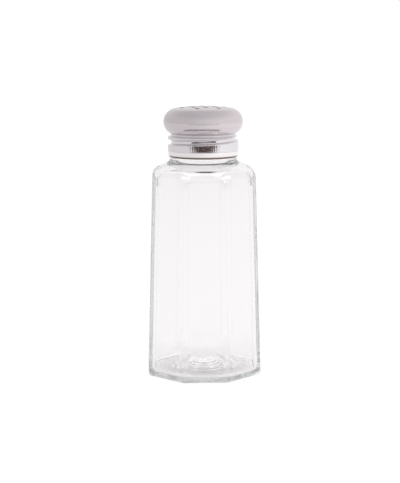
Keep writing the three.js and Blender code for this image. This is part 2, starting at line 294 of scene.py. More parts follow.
# The glass is clear with a green-grey cast that shows where it is thick. Moulding leaves its
# surface slightly wavy, which bends what is seen through it.
glass, nodes, output = new_material("pressed_soda_lime_glass")
place = add(nodes, "ShaderNodeTexCoord").outputs["Object"]
wave_length = 14 * MM
wave_height = 0.12 * MM
upright_share = 0.45
stretched = add(nodes, "ShaderNodeMapping", {"Vector": place, "Scale": (1, 1, upright_share)})
waves = add(
    nodes,
    "ShaderNodeTexNoise",
    {"Vector": stretched, "Scale": 1 / wave_length, "Detail": 1.0, "Roughness": 0.4},
)
wave_bump = add(nodes, "ShaderNodeBump", {"Height": waves, "Strength": 1.0, "Distance": wave_height})
shader = add(
    nodes,
    "ShaderNodeBsdfPrincipled",
    {
        "Base Color": linear("#FFFFFF"),
        "Roughness": 0.0,
        "IOR": 1.52,
        "Transmission Weight": 1.0,
        "Normal": wave_bump,
    },
)
body = add(nodes, "ShaderNodeVolumeAbsorption", {"Color": linear("#D1D7D6"), "Density": 16.0})
nodes.links.new(shader.outputs[0], output.inputs["Surface"])
nodes.links.new(body.outputs[0], output.inputs["Volume"])

foot_radius = foot_across / 2
shoulder_apothem = shoulder_across / 2
heel_centre = foot_radius - heel_radius
half_panel = pi / panel_count


def apothem_at(height):
    """The apothem of the tapered panels at a height."""
    share = (height - heel_radius) / (panel_top - heel_radius)
    return foot_radius + (shoulder_apothem - foot_radius) * share


# The outside, from the middle of the push-up to the rim
push_up = []
for i in range(push_up_steps + 1):
    share = i / push_up_steps
    ripple = ripple_depth * sin(2 * pi * push_up_radius * share / ripple_width) * sin(pi * share)
    push_up.append((push_up_radius * share, push_up_depth * (1 - share**2) ** mound_power + ripple))
jar_profile = [(across, up, across) for across, up in push_up]
heel = arc(heel_centre, heel_radius, heel_radius, -pi / 2, 0, heel_steps)
jar_profile += [(heel_centre - bearing_width / 2, 0, panel_edge_radius)]
jar_profile += [(across, up, panel_edge_radius) for across, up in heel]
panel_levels = straight((foot_radius, heel_radius), (shoulder_apothem, panel_top), panel_steps)
jar_profile += [(across, up, panel_edge_radius) for across, up in panel_levels]
shoulder_centre = shoulder_apothem - shoulder_radius
shoulder_turn = pi / 2 - shoulder_slope
shoulder = arc(shoulder_centre, panel_top, shoulder_radius, 0, shoulder_turn, shoulder_steps)
shoulder_end = shoulder[-1]
for across, up in shoulder:
    share = (up - panel_top) / (shoulder_end[1] - panel_top)
    jar_profile.append((across, up, panel_edge_radius + (across - panel_edge_radius) * share))
fillet_start = 3 * pi / 2 - shoulder_slope
fillet_centre = neck_radius + neck_fillet
fillet = arc(fillet_centre, bead_top, neck_fillet, fillet_start, pi, neck_fillet_steps)
jar_profile += [(across, up, across) for across, up in fillet]
neck_low = (neck_root_radius, bead_top + neck_low_rise)
rim_height = neck_top - rim_radius
neck_high = (neck_root_radius, rim_height)
neck_rows = ceil((neck_high[1] - neck_low[1]) / neck_row_height)
neck = [neck_low, *straight(neck_low, neck_high, neck_rows)]
neck += arc(neck_root_radius - rim_radius, rim_height, rim_radius, 0, pi / 2, rim_steps)
neck += arc(bore_radius + rim_radius, rim_height, rim_radius, pi / 2, pi, rim_steps)
jar_profile += [(across, up, across) for across, up in neck]

# The inside, down the bore, the shoulder and the wall to the middle of the floor
cavity_arc_centre = shoulder_apothem - wall - cavity_shoulder_radius
cavity_shoulder = arc(
    cavity_arc_centre,
    panel_top,
    cavity_shoulder_radius,
    cavity_shoulder_turn,
    0,
    cavity_shoulder_steps,
)
bore_edge = arc(
    bore_radius + bore_edge_radius,
    bore_low + bore_edge_radius,
    bore_edge_radius,
    pi,
    1.5 * pi - bore_edge_lean,
    bore_edge_steps,
)
bore = [(bore_radius, bead_top), *bore_edge]
bore += straight(bore_edge[-1], cavity_shoulder[0], cavity_slope_steps)
jar_profile += [(across, up, across) for across, up in bore]
for across, up in cavity_shoulder:
    share = (up - panel_top) / (cavity_shoulder[0][1] - panel_top)
    jar_profile.append((across, up, cavity_edge_radius + (across - cavity_edge_radius) * share))
floor_corner_height = floor_thickness + cavity_floor_radius
floor_corner = apothem_at(floor_corner_height) - wall - cavity_floor_radius
cavity_low = (floor_corner + cavity_floor_radius, floor_corner_height)
inside = straight(cavity_shoulder[-1], cavity_low, wall_steps)
inside += arc(
    floor_corner, floor_corner_height, cavity_floor_radius, 0, -pi / 2, cavity_floor_steps
)
jar_profile += [(across, up, cavity_edge_radius) for across, up in inside]
for i in range(1, floor_steps):
    share = i / floor_steps
    across = floor_corner + (hump_radius - floor_corner) * share
    ripple = ripple_depth * sin(2 * pi * across / ripple_width) * sin(pi * share)
    jar_profile.append((across, floor_thickness + ripple, cavity_edge_radius))
for i in range(hump_steps + 1):
    share = 1 - i / hump_steps
    up = floor_thickness + hump_height * (1 - share**2) ** mound_power
    jar_profile.append((hump_radius * share, up, min(cavity_edge_radius, hump_radius * share)))

# Angles round the blank, close together where the panels' edges will be
edge_shares = [0, 0.2, 0.4, 0.55, 0.667, 0.76, 0.84, 0.9, 0.935, 0.95, 0.965, 0.982, 1]
panel_shares = [-s for s in reversed(edge_shares[1:-1])] + edge_shares
jar_angles = [
    half_panel * (2 * panel + share) for panel in range(panel_count) for share in panel_shares
]
vertices, faces = turned([point[:2] for point in jar_profile], jar_angles)
jar = new_piece("glass_jar_clear", vertices, faces)
edge_radius = jar.data.attributes.new("edge_radius", "FLOAT", "POINT")
carried_radii = []
for across, up, edge in jar_profile:
    carried_radii += [edge] * (1 if across == 0 else len(jar_angles))
edge_radius.data.foreach_set("value", carried_radii)

# Presses the round blank into panels, whose edges have the radius that each level carries
panels, size = geometry_tree("press_panels", ["Panel Count"])
half = add(panels, "ShaderNodeMath", {0: pi, 1: size["Panel Count"]}, operation="DIVIDE")
spot = add(panels, "ShaderNodeSeparateXYZ", {0: add(panels, "GeometryNodeInputPosition")})
flat = add(panels, "ShaderNodeCombineXYZ", {0: spot.outputs[0], 1: spot.outputs[1]})
apothem = add(panels, "ShaderNodeVectorMath", {0: flat}, operation="LENGTH").outputs["Value"]
edge = add(panels, "GeometryNodeInputNamedAttribute", {"Name": "edge_radius"}, data_type="FLOAT")
angle = add(panels, "ShaderNodeMath", {0: spot.outputs[1], 1: spot.outputs[0]}, operation="ARCTAN2")
from_middle = add(panels, "ShaderNodeMath", {0: angle, 1: half}, operation="PINGPONG")
from_edge = add(panels, "ShaderNodeMath", {0: half, 1: from_middle}, operation="SUBTRACT")
inset = add(panels, "ShaderNodeMath", {0: apothem, 1: edge}, operation="SUBTRACT")
half_cosine = add(panels, "ShaderNodeMath", {0: half}, operation="COSINE")
edge_centre = add(panels, "ShaderNodeMath", {0: inset, 1: half_cosine}, operation="DIVIDE")
middle_cosine = add(panels, "ShaderNodeMath", {0: from_middle}, operation="COSINE")
on_flat = add(panels, "ShaderNodeMath", {0: apothem, 1: middle_cosine}, operation="DIVIDE")
edge_sine = add(panels, "ShaderNodeMath", {0: from_edge}, operation="SINE")
across = add(panels, "ShaderNodeMath", {0: edge_centre, 1: edge_sine}, operation="MULTIPLY")
edge_squared = add(panels, "ShaderNodeMath", {0: edge, 1: edge}, operation="MULTIPLY")
across_squared = add(panels, "ShaderNodeMath", {0: across, 1: across}, operation="MULTIPLY")
left = add(panels, "ShaderNodeMath", {0: edge_squared, 1: across_squared}, operation="SUBTRACT")
left = add(panels, "ShaderNodeMath", {0: left, 1: 0.0}, operation="MAXIMUM")
beyond = add(panels, "ShaderNodeMath", {0: left}, operation="SQRT")
edge_cosine = add(panels, "ShaderNodeMath", {0: from_edge}, operation="COSINE")
on_edge = add(
    panels, "ShaderNodeMath", {0: edge_centre, 1: edge_cosine, 2: beyond}, operation="MULTIPLY_ADD"
)
half_tangent = add(panels, "ShaderNodeMath", {0: half}, operation="TANGENT")
flat_half = add(panels, "ShaderNodeMath", {0: inset, 1: half_tangent}, operation="MULTIPLY")
flat_angle = add(panels, "ShaderNodeMath", {0: flat_half, 1: apothem}, operation="ARCTAN2")
is_edge = add(panels, "ShaderNodeMath", {0: from_middle, 1: flat_angle}, operation="GREATER_THAN")
radius = add(panels, "ShaderNodeMix", {0: is_edge, 2: on_flat, 3: on_edge})
growth = add(panels, "ShaderNodeMath", {0: radius, 1: apothem}, operation="DIVIDE")
pressed = add(panels, "ShaderNodeVectorMath", {0: flat, "Scale": growth}, operation="SCALE")
level = add(panels, "ShaderNodeCombineXYZ", {2: spot.outputs[2]})
pressed = add(panels, "ShaderNodeVectorMath", {0: pressed, 1: level}, operation="ADD")
moved = add(panels, "GeometryNodeSetPosition", {"Geometry": size["Geometry"], "Position": pressed})
finish_tree(panels, moved, glass)
shape_with(jar, panels, {"Panel Count": panel_count})

# Raises the thread on the neck
glass_thread = helix_tree("glass_thread", glass)
thread_sizes = {
    "Pitch": thread_pitch,
    "Base Radius": neck_root_radius,
    "Depth": thread_height,
    "Root Width": thread_root_width,
    "Crest Width": thread_crest_width,
    "Start Height": thread_start,
    "Start Turn": thread_start_turn,
    "Turns": thread_turns,
    "Lead Turns": thread_lead_turns,
    "Fade Turns": thread_fade_turns,
    "Faces Out": 1,
}
shape_with(jar, glass_thread, thread_sizes)
jar.data.shade_smooth()
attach(jar, "jar")
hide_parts("glass_jar")


# Sealing ring: a thin washer cut from polyethylene sheet. It lies loose between the glass rim
# and the cap's ledge, and rises with the cap as that is unscrewed.
ring_low, ring_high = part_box("sealing_ring")
ring_outer = ring_high[0]
ring_width = 2.5 * MM
ring_edge = 0.08 * MM
ring_edge_steps = 3
ring_segments = 180
ring_merge = 0.001 * MM

# Natural polyethylene is milky white, lets a little light in and has a soft, uneven sheen
polyethylene, nodes, output = new_material("cut_polyethylene_sheet")
place = add(nodes, "ShaderNodeTexCoord").outputs["Object"]
grain_size = 0.4 * MM
grain_depth = 0.02 * MM
light_depth = 0.4 * MM
grain = add(nodes, "ShaderNodeTexNoise", {"Vector": place, "Scale": 1 / grain_size, "Detail": 3.0})
grain_bump = add(nodes, "ShaderNodeBump", {"Height": grain, "Strength": 0.4, "Distance": grain_depth})
grain_roughness = add(nodes, "ShaderNodeMapRange", {"Value": grain, "To Min": 0.38, "To Max": 0.56})
shader = add(
    nodes,
    "ShaderNodeBsdfPrincipled",
    {
        "Base Color": linear("#F1F1EC"),
        "Roughness": grain_roughness,
        "IOR": 1.51,
        "Subsurface Weight": 0.25,
        "Subsurface Radius": (1, 1, 1),
        "Subsurface Scale": light_depth,
        "Normal": grain_bump,
    },
)
nodes.links.new(shader.outputs[0], output.inputs["Surface"])

ring_inner = ring_outer - ring_width
corners = [
    (ring_outer, ring_low[2], -pi / 2),
    (ring_outer, ring_high[2], 0),
    (ring_inner, ring_high[2], pi / 2),
    (ring_inner, ring_low[2], pi),
]
ring_profile = []
for across, up, start in corners:
    inwards = -1 if across == ring_outer else 1
    upwards = 1 if up == ring_low[2] else -1
    centre = (across + inwards * ring_edge, up + upwards * ring_edge)
    ring_profile += arc(*centre, ring_edge, start, start + pi / 2, ring_edge_steps)
ring_profile.append(ring_profile[0])
ring_angles = [2 * pi * i / ring_segments for i in range(ring_segments)]
vertices, faces = turned(ring_profile, ring_angles)
ring = new_piece("sealing_ring_liner", vertices, faces)
fused = bmesh.new()
fused.from_mesh(ring.data)
bmesh.ops.remove_doubles(fused, verts=fused.verts, dist=ring_merge)
fused.to_mesh(ring.data)
fused.free()
ring.data.materials.append(polyethylene)
ring.data.shade_smooth()
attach(ring, "ring")
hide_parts("sealing_ring")


# Mushroom cap: one stainless steel pressing. The dome is satin polished, the skirt is rolled
# bright with a screw groove and a knurled band, its edge is curled in, and the crown is punched
# with shaker holes from below, which leaves a low burr round each.
sheet = 0.4 * MM
ledge_height = 95.1 * MM
ledge_slope = radians(22)
ledge_steps = 8
crown_height = 106.35 * MM
crown_spacing = 0.55 * MM
crown_merge = 0.0001 * MM
dome_radius = 15.65 * MM
dome_edge_radius = 5.3 * MM
dome_widest = 100.4 * MM
dome_under = radians(63)
dome_steps = 30
dome_inside_steps = 22
crease_fillet = 0.3 * MM
crease_sheet = 0.7 * MM
crease_inside_turn = radians(150)
crease_steps = 12
skirt_radius = 13.93 * MM
skirt_steps = 62
skirt_inside_steps = 44
skirt_corner_radius = 0.5 * MM
skirt_corner_steps = 6
skirt_corner_inside_steps = 3
hem_bottom = 86.65 * MM
hem_thickness = 1 * MM
hem_height = 2.2 * MM
hem_end_height = 0.3 * MM
hem_curl_radius = 0.4 * MM
hem_curl_steps = 6
hem_below_knurls = 0.15 * MM
hem_steps = 14
knurl_bottom = 89.2 * MM
knurl_height = 2.9 * MM
knurl_count = 96
knurl_depth = 0.055 * MM
knurl_margin = 0.02 * MM
knurl_valley_share = 0.3
groove_depth = 1.3 * MM
groove_root_width = 2.4 * MM
groove_crest_width = 0.8 * MM
groove_start = 94.25 * MM
groove_start_turn = radians(30)
groove_turns = 365 / 360
groove_lead_turns = 30 / 360
groove_fade_turns = 35 / 360
hole_diameter = 1.8 * MM
hole_pitch = 4.9 * MM
hole_turn = radians(-18)
holes_in_ring = 6
hole_patch_radius = 2.2 * MM
hole_sides = 32
burr_height = 0.09 * MM
burr_width = 0.28 * MM
patch_merge = 0.004 * MM
weld_reach = 0.03 * MM
sharp_angle = radians(32)

# Satin polishing leaves fine lines round the dome, which blur what it mirrors. The real lines are
# under 0.1 mm wide and are drawn coarser, so that they show. The rolled skirt mirrors sharply. Its
# curled edge gets a painted highlight, the turn under the curl gets painted shade, and the inside of
# the pressing gets painted shade, darkest inside the dome.
polish_width = 0.35 * MM
polish_length = 2 * MM
polish_depth = 0.01 * MM
cloud_size = 16 * MM
satin_rise = 2 * MM
hem_highlight_blend = 0.4 * MM
gap_shade_high = 0.9 * MM
gap_shade_low = 0.55 * MM
steel, nodes, output = new_material("satin_polished_stainless_steel")
place = add(nodes, "ShaderNodeTexCoord").outputs["Object"]
spot = add(nodes, "ShaderNodeSeparateXYZ", {0: place})
angle = add(nodes, "ShaderNodeMath", {0: spot.outputs[1], 1: spot.outputs[0]}, operation="ARCTAN2")
round_way = add(nodes, "ShaderNodeMath", {0: angle, 1: polish_length}, operation="MULTIPLY")
flat = add(nodes, "ShaderNodeCombineXYZ", {0: spot.outputs[0], 1: spot.outputs[1]})
across = add(nodes, "ShaderNodeVectorMath", {0: flat}, operation="LENGTH").outputs["Value"]
polish = add(nodes, "ShaderNodeCombineXYZ", {0: round_way, 1: across, 2: spot.outputs[2]})
lines = add(
    nodes,
    "ShaderNodeTexNoise",
    {"Vector": polish, "Scale": 1 / polish_width, "Detail": 4.0, "Roughness": 0.6},
)
ledge_zone = add(
    nodes,
    "ShaderNodeMapRange",
    {"Value": spot.outputs[2], "From Min": ledge_height, "From Max": ledge_height + satin_rise},
)
bright = add(nodes, "ShaderNodeMapRange", {"Value": lines, "To Min": 0.05, "To Max": 0.09})
satin = add(nodes, "ShaderNodeMapRange", {"Value": lines, "To Min": 0.17, "To Max": 0.24})
roughness = add(
    nodes, "ShaderNodeMix", {0: ledge_zone, 2: bright.outputs[0], 3: satin.outputs[0]}
)
above_ledge = add(nodes, "ShaderNodeMath", {0: spot.outputs[2], 1: ledge_height}, operation="SUBTRACT")
above_ledge = add(nodes, "ShaderNodeMath", {0: above_ledge, 1: 0.0}, operation="MAXIMUM")
away = add(nodes, "ShaderNodeCombineXYZ", {0: spot.outputs[0], 1: spot.outputs[1], 2: above_ledge})
normal = add(nodes, "ShaderNodeTexCoord").outputs["Normal"]
facing = add(nodes, "ShaderNodeVectorMath", {0: away, 1: normal}, operation="DOT_PRODUCT")
# Faces that look inwards are painted darker below, as painted shade, darkest inside the dome
inside = add(nodes, "ShaderNodeMath", {0: facing.outputs["Value"], 1: 0.0}, operation="LESS_THAN")
painted_shade_inside_dome = add(nodes, "ShaderNodeMath", {0: inside, 1: ledge_zone}, operation="MULTIPLY")
clouds = add(nodes, "ShaderNodeTexNoise", {"Vector": place, "Scale": 1 / cloud_size, "Detail": 1.0})
# The skirt's curled edge is painted paler, as a painted highlight
hem_highlight_zone = add(
    nodes,
    "ShaderNodeMapRange",
    {"Value": spot.outputs[2], "From Min": knurl_bottom, "From Max": knurl_bottom - hem_highlight_blend},
)
# The turn under the curl is painted darker, as painted shade
gap_shade_zone = add(
    nodes,
    "ShaderNodeMapRange",
    {"Value": spot.outputs[2], "From Min": hem_bottom + gap_shade_high, "From Max": hem_bottom + gap_shade_low},
)
tone = add(
    nodes, "ShaderNodeMix", {0: clouds, 6: linear("#DACFD2"), 7: linear("#D6D0D5")}, data_type="RGBA"
)
skirt_zone = add(nodes, "ShaderNodeMath", {0: 1.0, 1: ledge_zone}, operation="SUBTRACT")

# From the dome's tone to the pale skirt, its edge's painted highlight, and painted shade under the curl and
# inside
zones =[(skirt_zone, "#E3DFE2"), (hem_highlight_zone, "#F3EEEE"), (gap_shade_zone, "#75695F")]
zones += [(inside, "#C4C0C0"), (painted_shade_inside_dome, "#5A5657")]
for zone, colour in zones:
    mix_inputs = {0: zone, 6: tone.outputs[2], 7: linear(colour)}
    tone = add(nodes, "ShaderNodeMix", mix_inputs, data_type="RGBA")
polish_bump = add(nodes, "ShaderNodeBump", {"Height": lines, "Strength": 0.35, "Distance": polish_depth})
shader = add(
    nodes,
    "ShaderNodeBsdfPrincipled",
    {
        "Base Color": tone.outputs[2],
        "Metallic": 1.0,
        "Roughness": roughness,
        "Normal": polish_bump,
    },
)
nodes.links.new(shader.outputs[0], output.inputs["Surface"])

# The dome's section: an edge arc under a shallow crown, which meet at one tangent
edge_centre = dome_radius - dome_edge_radius
drop = crown_height - dome_widest
crown_radius = (edge_centre**2 + drop**2 - dome_edge_radius**2) / (2 * (drop - dome_edge_radius))
crown_centre = crown_height - crown_radius
meet = atan2(dome_widest - crown_centre, edge_centre)
crown_rim = edge_centre + dome_edge_radius * cos(meet)

# The crease is tangent to the dome's edge, and the ledge slopes from it down to the skirt
crease_reach = dome_edge_radius + crease_fillet
crease = (edge_centre + crease_reach * cos(dome_under), dome_widest - crease_reach * sin(dome_under))
ledge_turn = 1.5 * pi - ledge_slope
corner_across = skirt_radius - skirt_corner_radius
ledge_run = corner_across + skirt_corner_radius * sin(ledge_slope)
ledge_run += crease_fillet * sin(ledge_slope) - crease[0]
fillet_drop = (crease_fillet + skirt_corner_radius) * cos(ledge_slope)
corner_up = crease[1] - fillet_drop - ledge_run * tan(ledge_slope)

# The turned blank, from the crown's inner rim down inside the skirt and up outside to the outer rim
inner_skirt = skirt_radius - sheet
hem_inner = skirt_radius - hem_thickness
hem_end = (hem_inner, hem_bottom + hem_height)
skirt_low = (inner_skirt, hem_end[1] + hem_end_height)
crown_inner_rim = (crown_rim, crown_centre + sqrt((crown_radius - sheet) ** 2 - crown_rim**2))
corner_turn = pi / 2 - ledge_slope
inner_corner = skirt_corner_radius - sheet
dome_inside = arc(
    edge_centre, dome_widest, dome_edge_radius - sheet, meet, -dome_under, dome_inside_steps
)
skirt_inside = arc(
    corner_across, corner_up, inner_corner, corner_turn, 0, skirt_corner_inside_steps
)
skirt_inside += straight(skirt_inside[-1], skirt_low, skirt_inside_steps)
hem_middle = hem_inner + hem_curl_radius
hem_curl = arc(
    hem_middle, hem_bottom + hem_curl_radius, hem_curl_radius, pi, 1.5 * pi, hem_curl_steps
)
hem_top = knurl_bottom - hem_below_knurls
hem_outside = []
for i in range(1, hem_steps + 1):
    turn = pi / 2 * i / hem_steps
    hem_across = hem_middle + (skirt_radius - hem_middle) * sin(turn)
    hem_outside.append((hem_across, hem_top - (hem_top - hem_bottom) * cos(turn)))
knurl_top = knurl_bottom + knurl_height
knurl_low = (skirt_radius, knurl_bottom - knurl_margin)
ledge_low = (skirt_radius, corner_up)
crease_outer = crease_fillet + crease_sheet
cap_profile = [crown_inner_rim, *dome_inside[1:]]
cap_profile += arc(*crease, crease_outer, crease_inside_turn, ledge_turn, crease_steps)
cap_profile += [*skirt_inside, skirt_low, hem_end, *hem_curl, *hem_outside]
cap_profile += [knurl_low, *straight(knurl_low, ledge_low, skirt_steps)]
corner = arc(corner_across, corner_up, skirt_corner_radius, 0, corner_turn, skirt_corner_steps)
crease_arc = arc(*crease, crease_fillet, ledge_turn, pi - dome_under, crease_steps)
cap_profile += [*corner, *straight(corner[-1], crease_arc[0], ledge_steps), *crease_arc[:-1]]
cap_profile += arc(edge_centre, dome_widest, dome_edge_radius, -dome_under, meet, dome_steps)

knurl_shares = [-knurl_valley_share, 0, knurl_valley_share]
cap_angles = [
    2 * pi * (knurl + share) / knurl_count for knurl in range(knurl_count) for share in knurl_shares
]
vertices, faces = turned(cap_profile, cap_angles)
cap = new_piece("mushroom_cap_steel", vertices, faces)

# Rolls the screw groove into the skirt, and with it the ridge that it makes inside
rolled_groove = helix_tree("rolled_groove", steel)
groove_sizes = {
    "Pitch": thread_pitch,
    "Base Radius": skirt_radius,
    "Depth": -groove_depth,
    "Root Width": groove_root_width,
    "Crest Width": groove_crest_width,
    "Start Height": groove_start,
    "Start Turn": groove_start_turn,
    "Turns": groove_turns,
    "Lead Turns": groove_lead_turns,
    "Fade Turns": groove_fade_turns,
    "Faces Out": 1,
}
ridge_sizes = dict(groove_sizes)
ridge_sizes["Faces Out"] = -1
ridge_sizes["Base Radius"] = inner_skirt
ridge_sizes["Root Width"] = groove_root_width + 2 * sheet
ridge_sizes["Crest Width"] = groove_crest_width + 2 * sheet
shape_with(cap, rolled_groove, groove_sizes)
shape_with(cap, rolled_groove, ridge_sizes)

# Presses the knurls in: each valley is a narrow V between flat-topped ribs
knurl_names = ["Count", "Depth", "Bottom", "Top", "Valley Share", "Least Radius"]
knurls, size = geometry_tree("knurls", knurl_names)
spot = add(knurls, "ShaderNodeSeparateXYZ", {0: add(knurls, "GeometryNodeInputPosition")})
flat = add(knurls, "ShaderNodeCombineXYZ", {0: spot.outputs[0], 1: spot.outputs[1]})
reach = add(knurls, "ShaderNodeVectorMath", {0: flat}, operation="LENGTH").outputs["Value"]
angle = add(knurls, "ShaderNodeMath", {0: spot.outputs[1], 1: spot.outputs[0]}, operation="ARCTAN2")
share = add(knurls, "ShaderNodeMath", {0: angle, 1: 2 * pi}, operation="DIVIDE")
tooth = add(knurls, "ShaderNodeMath", {0: share, 1: size["Count"]}, operation="MULTIPLY")
aside = add(knurls, "ShaderNodeMath", {0: tooth, 1: 0.5}, operation="PINGPONG")
valley = add(
    knurls, "ShaderNodeMapRange", {"Value": aside, "From Min": size["Valley Share"], "From Max": 0.0}
)
over = add(knurls, "ShaderNodeMath", {0: spot.outputs[2], 1: size["Bottom"]}, operation="GREATER_THAN")
under = add(knurls, "ShaderNodeMath", {0: spot.outputs[2], 1: size["Top"]}, operation="LESS_THAN")
outer = add(knurls, "ShaderNodeMath", {0: reach, 1: size["Least Radius"]}, operation="GREATER_THAN")
band = add(knurls, "ShaderNodeMath", {0: over, 1: under}, operation="MULTIPLY")
band = add(knurls, "ShaderNodeMath", {0: band, 1: outer}, operation="MULTIPLY")
depth = add(knurls, "ShaderNodeMath", {0: valley, 1: band}, operation="MULTIPLY")
depth = add(knurls, "ShaderNodeMath", {0: depth, 1: size["Depth"]}, operation="MULTIPLY")
outwards = add(knurls, "ShaderNodeVectorMath", {0: flat}, operation="NORMALIZE")
depth = add(knurls, "ShaderNodeMath", {0: depth, 1: -1.0}, operation="MULTIPLY")
move = add(knurls, "ShaderNodeVectorMath", {0: outwards, "Scale": depth}, operation="SCALE")
moved = add(knurls, "GeometryNodeSetPosition", {"Geometry": size["Geometry"], "Offset": move})
finish_tree(knurls, moved, steel)
knurl_sizes = {
    "Count": knurl_count,
    "Depth": knurl_depth,
    "Bottom": knurl_bottom,
    "Top": knurl_top,
    "Valley Share": knurl_valley_share,
    "Least Radius": skirt_radius - knurl_margin,
}
shape_with(cap, knurls, knurl_sizes)

# One punched hole in a flat sheet, with its burr on top, to be set at each place of the pattern
hole_radius = hole_diameter / 2
patch_radii = [hole_radius]
patch_radii += [radius * MM for radius in (0.98, 1.05, 1.12, 1.2, 1.32, 1.5, 1.8)]
patch_radii += [hole_patch_radius]
patch_profile = [(patch_radius, -sheet) for patch_radius in reversed(patch_radii)]
patch_profile += [(hole_radius, -0.5 * sheet)]
for patch_radius in patch_radii:
    off = (patch_radius - hole_radius) / burr_width
    rise = burr_height * max(0, 1 - off) ** 2 * (1 + 2 * off) if off < 1 else 0
    patch_profile.append((patch_radius, rise))
patch_angles = [2 * pi * i / hole_sides for i in range(hole_sides)]
vertices, faces = turned(patch_profile, patch_angles)
hole_patch = new_piece("hole_patch", vertices, faces)

# The crown as two flat sheets with a round opening for each patch
hole_places = [(0, 0)]
for ring_radius, ring_turn in ((hole_pitch, hole_turn), (hole_pitch * sqrt(3), hole_turn + pi / 6)):
    for i in range(holes_in_ring):
        place_angle = ring_turn + 2 * pi / holes_in_ring * i
        hole_places.append((ring_radius * cos(place_angle), ring_radius * sin(place_angle)))
points = [Vector((crown_rim * cos(a), crown_rim * sin(a))) for a in cap_angles]
loops = [list(range(len(points)))]
for x, y in hole_places:
    loop = [
        Vector((x + hole_patch_radius * cos(a), y + hole_patch_radius * sin(a))) for a in patch_angles
    ]
    loops.append(list(range(len(points), len(points) + len(loop))))
    points += loop
rim_clearance = 0.6 * crown_spacing
patch_clearance = 0.4 * crown_spacing
rows = ceil(crown_rim / crown_spacing)
for row in range(-rows, rows + 1):
    for column in range(-rows, rows + 1):
        x = crown_spacing * (column + 0.5 * (row % 2))
        point = Vector((x, crown_spacing * row * sqrt(3) / 2))
        clear_of_rim = point.length < crown_rim - rim_clearance
        apart = min((point - Vector(spot_at)).length for spot_at in hole_places)
        if clear_of_rim and apart > hole_patch_radius + patch_clearance:
            points.append(point)
edges = [(loop[i - 1], loop[i]) for loop in loops for i in range(len(loop))]
flat_points, _, triangles, *_ = delaunay_2d_cdt(points, edges, [], 1, crown_merge)
opening_apothem = hole_patch_radius * cos(pi / hole_sides)
kept = []
for triangle in triangles:
    middle = sum((flat_points[i] for i in triangle), Vector((0, 0))) / len(triangle)
    if min((middle - Vector(spot_at)).length for spot_at in hole_places) > opening_apothem:
        kept.append(list(triangle))
count = len(flat_points)
vertices = [(p.x, p.y, 0) for p in flat_points] + [(p.x, p.y, -sheet) for p in flat_points]
faces = kept + [[count + i for i in reversed(triangle)] for triangle in kept]
crown = new_piece("crown", vertices, faces)

# Punches the holes, and bends the flat crown to its curve
punch_names = ["Hole Pitch", "Hole Turn", "Crown Height", "Crown Radius"]
punch, size = geometry_tree("punch_holes", punch_names)
patch = add(punch, "GeometryNodeObjectInfo", {"Object": hole_patch})
middle = add(punch, "GeometryNodeMeshLine", {"Count": 1})
near_inputs = {"Vertices": holes_in_ring, "Radius": size["Hole Pitch"]}
near = add(punch, "GeometryNodeMeshCircle", near_inputs)
far_radius = add(punch, "ShaderNodeMath", {0: size["Hole Pitch"], 1: sqrt(3)}, operation="MULTIPLY")
far = add(punch, "GeometryNodeMeshCircle", {"Vertices": holes_in_ring, "Radius": far_radius})
far = add(punch, "GeometryNodeTransform", {"Geometry": far, "Rotation": (0, 0, pi / 6)})
places = add(punch, "GeometryNodeJoinGeometry", {0: middle})
punch.links.new(near.outputs[0], places.inputs[0])
punch.links.new(far.outputs[0], places.inputs[0])
turn = add(punch, "ShaderNodeCombineXYZ", {2: size["Hole Turn"]})
places = add(punch, "GeometryNodeTransform", {"Geometry": places, "Rotation": turn})
patches = add(
    punch, "GeometryNodeInstanceOnPoints", {"Points": places, "Instance": patch.outputs["Geometry"]}
)
patches = add(punch, "GeometryNodeRealizeInstances", {"Geometry": patches})
whole = add(punch, "GeometryNodeJoinGeometry", {0: size["Geometry"]})
punch.links.new(patches.outputs[0], whole.inputs[0])
whole = add(punch, "GeometryNodeMergeByDistance", {"Geometry": whole, "Distance": patch_merge})
spot = add(punch, "ShaderNodeSeparateXYZ", {0: add(punch, "GeometryNodeInputPosition")})
flat = add(punch, "ShaderNodeCombineXYZ", {0: spot.outputs[0], 1: spot.outputs[1]})
reach = add(punch, "ShaderNodeVectorMath", {0: flat}, operation="LENGTH").outputs["Value"]
ball = add(punch, "ShaderNodeMath", {0: size["Crown Radius"], 1: spot.outputs[2]}, operation="ADD")
lean = add(punch, "ShaderNodeMath", {0: reach, 1: ball}, operation="DIVIDE")
lean = add(punch, "ShaderNodeMath", {0: lean}, operation="ARCSINE")
lean_cosine = add(punch, "ShaderNodeMath", {0: lean}, operation="COSINE")
up = add(punch, "ShaderNodeMath", {0: ball, 1: lean_cosine}, operation="MULTIPLY")
centre = add(
    punch, "ShaderNodeMath", {0: size["Crown Height"], 1: size["Crown Radius"]}, operation="SUBTRACT"
)
up = add(punch, "ShaderNodeMath", {0: up, 1: centre}, operation="ADD")
domed = add(punch, "ShaderNodeCombineXYZ", {0: spot.outputs[0], 1: spot.outputs[1], 2: up})
bent = add(punch, "GeometryNodeSetPosition", {"Geometry": whole, "Position": domed})
finish_tree(punch, bent, steel)
punch_sizes = {
    "Hole Pitch": hole_pitch,
    "Hole Turn": hole_turn,
    "Crown Height": crown_height,
    "Crown Radius": crown_radius,
}
shape_with(crown, punch, punch_sizes)
bpy.data.objects.remove(hole_patch)

# Joins the crown to the rest of the cap
welded = bmesh.new()
welded.from_mesh(cap.data)
welded.from_mesh(crown.data)
bmesh.ops.remove_doubles(welded, verts=welded.verts, dist=weld_reach)
welded.to_mesh(cap.data)
welded.free()
bpy.data.objects.remove(crown)
cap.data.shade_smooth()
cap.data.set_sharp_from_angle(angle=sharp_angle)
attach(cap, "cap")
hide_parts("mushroom_cap")
